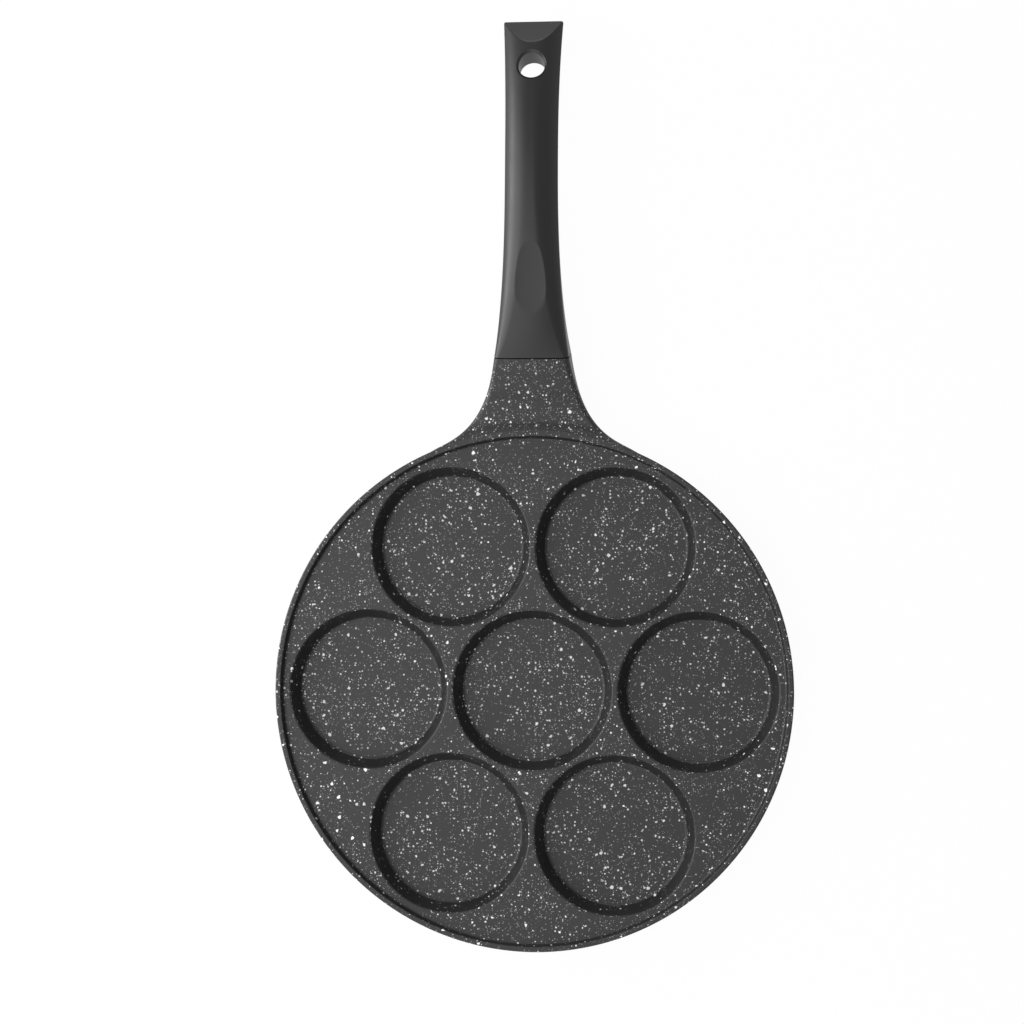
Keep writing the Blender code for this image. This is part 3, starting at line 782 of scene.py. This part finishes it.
def handle_frame(distance):
    """Where a cross-section stands at a distance along the arc: X across, Y along, Z up."""
    heading = HANDLE_RISE - distance / HANDLE_RADIUS
    y = SEAM_Y + HANDLE_RADIUS * (math.sin(HANDLE_RISE) - math.sin(heading))
    z = SEAM_HEIGHT + HANDLE_RADIUS * (math.cos(heading) - math.cos(HANDLE_RISE))
    return Matrix.Translation((0.0, y, z)) @ Matrix.Rotation(heading, 4, "X")


def swelling(distance, seam, waist, end):
    """A width or thickness that eases from the waist to its values at the seam and the end."""
    waist_at = WAIST_SHARE * HANDLE_LENGTH
    if distance < waist_at:
        return waist + (seam - waist) * ease(distance / waist_at, SEAM_EASE)
    beyond = (distance - waist_at) / (HANDLE_LENGTH - waist_at)
    return waist + (end - waist) * beyond**END_EASE


def handle_half_width(distance):
    return swelling(distance, HANDLE_SEAM_WIDTH, HANDLE_WAIST_WIDTH, HANDLE_END_WIDTH) / 2


def handle_half_height(distance):
    thick = HANDLE_SEAM_THICKNESS, HANDLE_WAIST_THICKNESS, HANDLE_END_THICKNESS
    return swelling(distance, *thick) / 2


def lower_of(first, second, softness):
    """The lower of two heights, with a soft edge where they cross."""
    apart = max(softness - abs(first - second), 0.0) / softness
    return min(first, second) - apart * apart * softness / 4


def thumb_rest_height(distance, across):
    """Height of the thumb rest's shallow dish above the handle's middle."""
    crest = handle_half_height(THUMB_REST_FROM_SEAM) + HANDLE_CROWN
    along = distance - THUMB_REST_FROM_SEAM
    dish = along * along / THUMB_REST_DISH_ALONG + across * across / THUMB_REST_DISH_ACROSS
    return crest - THUMB_REST_DEPTH + (dish + along * along / HANDLE_RADIUS) / 2


def planed_height(distance):
    """Height of the planed end above the handle's middle."""
    start = HANDLE_LENGTH - PLANED_LENGTH
    high = handle_half_height(start) + HANDLE_CROWN
    low = handle_half_height(HANDLE_LENGTH) + HANDLE_CROWN - PLANED_DROP
    return high + (low - high) * (distance - start) / PLANED_LENGTH


def handle_form(distance, inset=0.0):
    """Size, corners, crown and edge angle of a cross-section, rounder away from the seam."""
    share = distance / HANDLE_LENGTH
    softness = 1 - ease(share / ROUND_FROM_SHARE, 2.0)
    more_crown = MOST_CROWN * (1 - ease(share / CROWNED_FROM_SHARE, 2.0)) * (1 - share)
    half_width = handle_half_width(distance) - inset
    half_height = handle_half_height(distance) - inset - more_crown
    corner = (
        HANDLE_CORNER + (half_width - HANDLE_CORNER) * ROUNDEST * softness,
        HANDLE_CORNER + (half_height - HANDLE_CORNER) * ROUNDEST * softness,
    )
    crown = HANDLE_CROWN + more_crown
    return (half_width, half_height), corner, crown, ROUNDEST_EDGE_ANGLE * softness


def handle_ring(distance, inset=0.0):
    frame = handle_frame(distance)
    ring = []
    for across, up in section(*handle_form(distance, inset), corner_steps=60, flat_steps=8):
        if up > 0.0:
            up = lower_of(up, thumb_rest_height(distance, across), THUMB_REST_EDGE)
            up = lower_of(up, planed_height(distance), PLANED_EDGE)
        ring.append(frame @ Vector((across, 0.0, up)))
    return ring


def handle_surface(distance, across, side):
    """Height of the handle's skin beside its middle line: side is 1 above and -1 below."""
    (half_width, half_height), corner, crown, edge_angle = handle_form(distance)
    beyond = max(abs(across) - (half_width - corner[0]), 0.0) / corner[0]
    up = corner_height(beyond, half_height, corner[1], edge_angle)
    return side * (up + crown * (1 - (across / half_width) ** 2) * up / half_height)


def hang_hole_mesh():
    """The hole's cutter, whose bevelled mouths follow the handle's rounded skin."""
    steps = 96
    depth = HANG_HOLE_MOUTH_RADIUS - HANG_HOLE_RADIUS
    rings = []
    for side, radius, sink in (
        (1, HANG_HOLE_MOUTH_RADIUS + OVERRUN, -OVERRUN),
        (1, HANG_HOLE_RADIUS, depth),
        (-1, HANG_HOLE_RADIUS, depth),
        (-1, HANG_HOLE_MOUTH_RADIUS + OVERRUN, -OVERRUN),
    ):
        ring = []
        for step in range(steps):
            across = math.cos(math.tau * step / steps)
            along = math.sin(math.tau * step / steps)
            reach = min(radius, HANG_HOLE_MOUTH_RADIUS)
            skin = handle_surface(
                HANDLE_LENGTH - HANG_HOLE_FROM_END + reach * along, reach * across, side
            )
            ring.append((radius * across, radius * along, skin - side * sink))
        rings.append(ring)
    return lofted("hanging hole", rings)


def handle_mesh():
    stations = 320
    body_end = HANDLE_LENGTH - HANDLE_END_EDGE
    rings = [
        handle_ring(SEAM_GAP + (body_end - SEAM_GAP) * step / stations)
        for step in range(stations + 1)
    ]
    edge_steps = 4
    for step in range(1, edge_steps + 1):
        turn = math.pi / 2 * step / edge_steps
        inset = HANDLE_END_EDGE * (1 - math.cos(turn))
        rings.append(handle_ring(body_end + HANDLE_END_EDGE * math.sin(turn), inset))
    skin = lofted("handle", rings)

    socket = rounded_bar(
        "socket",
        TANG_WIDTH + 2 * FIT_GAP,
        TANG_LENGTH + FIT_GAP + OVERRUN,
        TANG_THICKNESS + 2 * FIT_GAP,
        TANG_CORNER,
    )
    seat = -(TANG_THICKNESS / 2 + FIT_GAP + SEAT_WALL)
    recess_profile = [
        (0.0, 0.0),
        (SCREW_HOLE_RADIUS, 0.0),
        (SCREW_HOLE_RADIUS, seat),
        (RECESS_RADIUS, seat),
        (RECESS_RADIUS, -HANDLE_SEAM_THICKNESS),
        (0.0, -HANDLE_SEAM_THICKNESS),
    ]
    recess = turned("recess", recess_profile, steps=64)
    return worked(
        "handle",
        skin,
        [
            ("DIFFERENCE", hang_hole_mesh(), handle_frame(HANDLE_LENGTH - HANG_HOLE_FROM_END)),
            ("DIFFERENCE", socket, tang_frame((TANG_LENGTH + FIT_GAP - OVERRUN) / 2)),
            ("DIFFERENCE", recess, tang_frame(SCREW_FROM_SEAM)),
        ],
    )


PLASTIC_DARKEST = (0.0050, 0.0050, 0.0051)
PLASTIC_LIGHTEST = (0.0080, 0.0080, 0.0081)
PLASTIC_IOR = 1.36


def handle_material():
    """Black plastic with a satin, very finely grained skin."""
    made, tree, shader = new_material("satin black moulding")
    place = tree.nodes.new("ShaderNodeTexCoord").outputs["Object"]
    grain = noise(tree, place, scale=5200.0, detail=2.0)
    cloud = noise(tree, place, scale=60.0, detail=4.0, roughness=0.6)
    set_inputs(
        tree,
        shader,
        Base_Color=mixed_color(tree, cloud, PLASTIC_DARKEST, PLASTIC_LIGHTEST),
        Roughness=mapped(tree, cloud, found=(0.3, 0.7), wanted=(0.36, 0.42)),
        Normal=relief(tree, grain, strength=0.25, distance=0.00001),
        IOR=PLASTIC_IOR,
    )
    return made


handle = even_normals(handle_mesh(), sharp_angle=math.radians(35))
handle.materials.clear()
handle.materials.append(handle_material())
finished("handle_moulding", handle, "handle_phenolic", "handle")

# Each well has a thin disc of stainless steel pressed into its foot, pierced with rings of holes
# that the aluminium flows into, so that the pan also heats on an induction hob.
DISC_HOLE_RADIUS = 0.0022
DISC_HOLE_PITCH = 0.0105
DISC_HOLE_RINGS = 2


def joined(tree, *parts):
    made = tree.nodes.new("GeometryNodeJoinGeometry")
    for part in parts:
        tree.links.new(part, made.inputs[0])
    return made.outputs[0]


def disc_tree(steel):
    """Pierced discs, one at each of the pan's wells."""
    tree = bpy.data.node_groups.new("Pierced discs", "GeometryNodeTree")
    face = tree.interface
    face.new_socket("Geometry", in_out="INPUT", socket_type="NodeSocketGeometry")
    for name, kind in (
        ("Disc Radius", "NodeSocketFloat"),
        ("Thickness", "NodeSocketFloat"),
        ("Hole Radius", "NodeSocketFloat"),
        ("Hole Pitch", "NodeSocketFloat"),
        ("Hole Rings", "NodeSocketInt"),
        ("Well Pitch", "NodeSocketFloat"),
        ("Wells Around", "NodeSocketInt"),
    ):
        face.new_socket(name, in_out="INPUT", socket_type=kind)
    face.new_socket("Geometry", in_out="OUTPUT", socket_type="NodeSocketGeometry")
    given = tree.nodes.new("NodeGroupInput").outputs
    where = tree.nodes.new("GeometryNodeInputPosition").outputs[0]

    # A grid of holes, each row slid by half a pitch more than the one before it
    gaps = calc(tree, "MULTIPLY", given["Hole Rings"], 4.0)
    across = calc(tree, "ADD", gaps, 1.0)
    row_gap = calc(tree, "MULTIPLY", given["Hole Pitch"], math.sqrt(3) / 2)
    grid = add_node(
        tree,
        "GeometryNodeMeshGrid",
        Size_X=calc(tree, "MULTIPLY", given["Hole Pitch"], gaps),
        Size_Y=calc(tree, "MULTIPLY", row_gap, gaps),
        Vertices_X=across,
        Vertices_Y=across,
    )
    apart = add_node(tree, "ShaderNodeSeparateXYZ", Vector=where).outputs
    column = calc(tree, "ROUND", calc(tree, "DIVIDE", apart["X"], given["Hole Pitch"]))
    row = calc(tree, "ROUND", calc(tree, "DIVIDE", apart["Y"], row_gap))
    slide = calc(tree, "MULTIPLY", calc(tree, "MULTIPLY", row, 0.5), given["Hole Pitch"])
    offset = add_node(tree, "ShaderNodeCombineXYZ", X=slide)

    # Of these, the ones in the hexagonal rings round the middle stay
    diagonal = calc(tree, "ABSOLUTE", calc(tree, "ADD", column, row))
    straight = calc(tree, "MAXIMUM", calc(tree, "ABSOLUTE", column), calc(tree, "ABSOLUTE", row))
    counted = add_node(
        tree,
        "GeometryNodeStoreNamedAttribute",
        Geometry=grid.outputs["Mesh"],
        Name="ring",
        Value=calc(tree, "MAXIMUM", straight, diagonal),
    )
    slid = add_node(
        tree, "GeometryNodeSetPosition", Geometry=counted.outputs[0], Offset=offset.outputs[0]
    )
    ring = add_node(tree, "GeometryNodeInputNamedAttribute", Name="ring").outputs["Attribute"]
    too_near = calc(tree, "LESS_THAN", ring, 0.5)
    too_far = calc(tree, "GREATER_THAN", ring, calc(tree, "ADD", given["Hole Rings"], 0.5))
    kept = add_node(
        tree,
        "GeometryNodeDeleteGeometry",
        Geometry=slid.outputs[0],
        Selection=calc(tree, "MAXIMUM", too_near, too_far),
    )

    # The disc is a sheet with these holes, raised to its thickness
    hole = add_node(
        tree, "GeometryNodeCurvePrimitiveCircle", Resolution=24, Radius=given["Hole Radius"]
    )
    holes = add_node(
        tree,
        "GeometryNodeInstanceOnPoints",
        Points=kept.outputs[0],
        Instance=hole.outputs["Curve"],
    )
    outline = add_node(
        tree, "GeometryNodeCurvePrimitiveCircle", Resolution=120, Radius=given["Disc Radius"]
    )
    real_holes = add_node(tree, "GeometryNodeRealizeInstances", Geometry=holes.outputs[0])
    sheet = add_node(
        tree,
        "GeometryNodeFillCurve",
        Curve=joined(tree, outline.outputs["Curve"], real_holes.outputs[0]),
    )
    under = add_node(tree, "GeometryNodeFlipFaces", Mesh=sheet.outputs[0])
    up = add_node(tree, "ShaderNodeCombineXYZ", Z=1.0)
    raised = add_node(
        tree,
        "GeometryNodeExtrudeMesh",
        Mesh=sheet.outputs[0],
        Offset=up.outputs[0],
        Offset_Scale=given["Thickness"],
        Individual=False,
    )
    merged = add_node(
        tree,
        "GeometryNodeMergeByDistance",
        Geometry=joined(tree, raised.outputs["Mesh"], under.outputs[0]),
        Distance=0.00001,
    )
    own = tree.nodes.new("GeometryNodeStoreNamedAttribute")
    own.data_type = "FLOAT_VECTOR"
    set_inputs(tree, own, Geometry=merged.outputs[0], Name="own_place", Value=where)

    # One at the middle of each well
    around = add_node(
        tree, "GeometryNodeMeshCircle", Vertices=given["Wells Around"], Radius=given["Well Pitch"]
    )
    middle = tree.nodes.new("GeometryNodePoints")
    discs = add_node(
        tree,
        "GeometryNodeInstanceOnPoints",
        Points=joined(tree, around.outputs["Mesh"], middle.outputs[0]),
        Instance=own.outputs[0],
    )
    real = add_node(tree, "GeometryNodeRealizeInstances", Geometry=discs.outputs[0])
    dressed = add_node(tree, "GeometryNodeSetMaterial", Geometry=real.outputs[0], Material=steel)
    add_node(tree, "NodeGroupOutput", Geometry=dressed.outputs[0])
    return tree


def grown(name, tree, values):
    """The plain mesh that a geometry tree makes with its inputs set to the given values."""
    blank = placed(name, bpy.data.meshes.new(f"{name} seed"))
    step = blank.modifiers.new(name, "NODES")
    step.node_group = tree
    for item in tree.interface.items_tree:
        if item.item_type == "SOCKET" and item.in_out == "INPUT" and item.name in values:
            step[item.identifier] = values[item.name]
    return settled(blank, name)


disc_steel = turned_metal(
    "pressed stainless steel", color=(0.62, 0.61, 0.60), roughness=0.26, pitch=0.00035
)
discs = grown(
    "base_discs",
    disc_tree(disc_steel),
    {
        "Disc Radius": DISC_RADIUS,
        "Thickness": DISC_THICKNESS,
        "Hole Radius": DISC_HOLE_RADIUS,
        "Hole Pitch": DISC_HOLE_PITCH,
        "Hole Rings": DISC_HOLE_RINGS,
        "Well Pitch": WELL_PITCH,
        "Wells Around": WELLS_AROUND,
    },
)
disc_nodes = ["base_disc_middle"] + [f"base_disc_{number + 1}" for number in range(WELLS_AROUND)]
finished("base_discs", discs, "base_disc_steel", *disc_nodes)

# One zinc-plated machine screw with a spring washer and a plain washer holds the handle. It goes in
# from below, through the handle's own wall, into the tapped tang.
ZINC_DARKEST = (0.55, 0.56, 0.58)
ZINC_LIGHTEST = (0.70, 0.70, 0.69)


def plated_material():
    """Zinc plating: bright, very slightly blue and uneven."""
    made, tree, shader = new_material("zinc plating")
    place = tree.nodes.new("ShaderNodeTexCoord").outputs["Object"]
    cloud = noise(tree, place, scale=700.0, detail=4.0)
    set_inputs(
        tree,
        shader,
        Metallic=1.0,
        Base_Color=mixed_color(tree, cloud, ZINC_DARKEST, ZINC_LIGHTEST),
        Roughness=mapped(tree, cloud, found=(0.3, 0.7), wanted=(0.26, 0.40)),
    )
    return made


plated = plated_material()
for name in ("handle_screw", "spring_washer", "plain_washer"):
    node = bpy.data.objects[name]
    node.data.materials.clear()
    node.data.materials.append(plated)

# The floor is one pale sheet that the pan stands on. To the eye it is white, and it keeps a soft
# trace of the pan's shadow.
FLOOR_SIZE = 6.0
FLOOR_DROP = 0.0002
FLOOR_WHITENESS = 0.97
PAPER_GREY = (0.88, 0.88, 0.88, 1.0)


def seen_straight(tree):
    """1 where the camera looks, also by way of metal or glass, and 0 for the light that falls."""
    path = tree.nodes.new("ShaderNodeLightPath").outputs
    straight = calc(tree, "MAXIMUM", path["Is Camera Ray"], path["Is Transmission Ray"])
    return calc(tree, "MAXIMUM", straight, path["Is Glossy Ray"])


def floor_material():
    made, tree, spare_shader = new_material("white floor")
    tree.nodes.remove(spare_shader)
    paper = add_node(tree, "ShaderNodeBsdfDiffuse", Color=PAPER_GREY)
    white = tree.nodes.new("ShaderNodeEmission")
    mixed = tree.nodes.new("ShaderNodeMixShader")
    feed(tree, mixed.inputs[0], calc(tree, "MULTIPLY", seen_straight(tree), FLOOR_WHITENESS))
    feed(tree, mixed.inputs[1], paper.outputs[0])
    feed(tree, mixed.inputs[2], white.outputs[0])
    set_inputs(tree, tree.nodes["Material Output"], Surface=mixed.outputs[0])
    return made


sheet = bpy.data.meshes.new("floor")
half = FLOOR_SIZE / 2
sheet.from_pydata(
    [
        (-half, -half, -FLOOR_DROP),
        (half, -half, -FLOOR_DROP),
        (half, half, -FLOOR_DROP),
        (-half, half, -FLOOR_DROP),
    ],
    [],
    [(0, 1, 2, 3)],
)
sheet.materials.append(floor_material())
placed("floor", sheet)

# Plain studio light in a white room: a long soft box overhead to the left, a strong one low on the
# left, two weaker ones in front and behind, and a low strip beside the handle that lights its edge.
ROOM_LIGHT = 0.12

for name, place, aim, size, power in (
    ("main soft box", (-0.62, 0.05, 1.60), (0.0, 0.05, 0.0), (0.9, 1.6), 13.7),
    ("front soft box", (-0.35, -1.05, 0.95), (0.0, 0.15, 0.0), (1.2, 0.7), 8.5),
    ("left soft box", (-1.00, 0.15, 0.44), (0.0, 0.15, 0.0), (0.9, 1.0), 12.8),
    ("edge soft box", (-0.45, 0.27, 0.035), (0.0, 0.27, 0.025), (0.42, 0.04), 1.1),
    ("back soft box", (0.00, 1.60, 0.50), (0.0, 0.30, 0.0), (1.0, 0.4), 7.5),
):
    data = bpy.data.lights.new(name, "AREA")
    data.shape = "RECTANGLE"
    data.size, data.size_y = size
    data.energy = power
    facing = (Vector(aim) - Vector(place)).to_track_quat("-Z", "Y")
    placed(name, data).matrix_world = Matrix.LocRotScale(Vector(place), facing, None)

room = bpy.data.worlds.new("white room")
bpy.context.scene.world = room
room.use_nodes = True
glow = calc(room.node_tree, "MULTIPLY", seen_straight(room.node_tree), 1.0 - ROOM_LIGHT)
set_inputs(
    room.node_tree,
    room.node_tree.nodes["Background"],
    Color=(1.0, 1.0, 1.0, 1.0),
    Strength=calc(room.node_tree, "ADD", glow, ROOM_LIGHT),
)

# The camera looks almost straight down from the right of the handle, about a metre up.
camera_data = bpy.data.cameras.new("camera")
camera_data.lens = 74.38
camera_data.sensor_width = 36.0
camera_data.clip_end = 50.0
camera = placed("camera", camera_data)
camera.location = (0.09734, 0.07320, 1.06770)
camera.rotation_euler = (math.radians(0.893), math.radians(5.833), math.radians(0.230))
bpy.context.scene.camera = camera
bpy.context.scene.view_settings.view_transform = "Standard"
